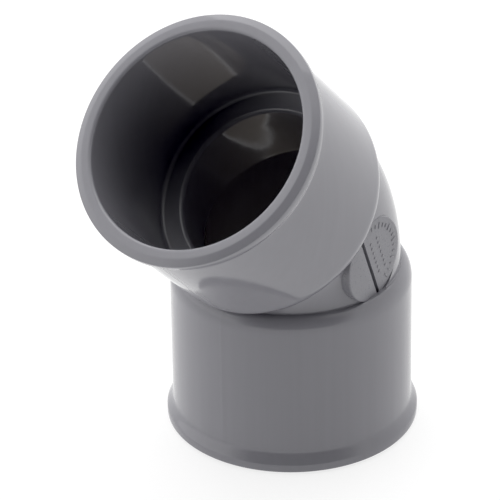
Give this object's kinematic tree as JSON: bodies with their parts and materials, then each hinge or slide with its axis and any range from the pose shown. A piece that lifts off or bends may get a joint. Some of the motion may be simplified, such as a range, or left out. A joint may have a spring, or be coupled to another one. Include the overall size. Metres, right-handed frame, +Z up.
{
  "type": "pipe elbow",
  "caption": "Grey rigid PVC 45 degree elbow with a plain glue socket and collared rim at each end, joined by a short smooth bend with a flat round pad on each side.",
  "frame": {"origin": "bottom centre of the bounding box, on the plane of the lower rim", "axes": "+Z up along the lower socket's axis, into the fitting; the bend lies in the YZ plane and the upper socket faces -Y and 45 degrees up; +X is square to the bend's plane"},
  "size_m": [0.0582, 0.0852, 0.1067],
  "materials": {
    "grey_pvc": "mid grey rigid PVC, smooth moulded satin gloss"
  },
  "bodies": {
    "root": {"bend": "grey_pvc", "lower_pipe_stop": "grey_pvc", "lower_rim": "grey_pvc", "lower_socket": "grey_pvc", "marking_pad_left": "grey_pvc", "marking_pad_right": "grey_pvc", "upper_pipe_stop": "grey_pvc", "upper_rim": "grey_pvc", "upper_socket": "grey_pvc"}
  },
  "joints": []
}
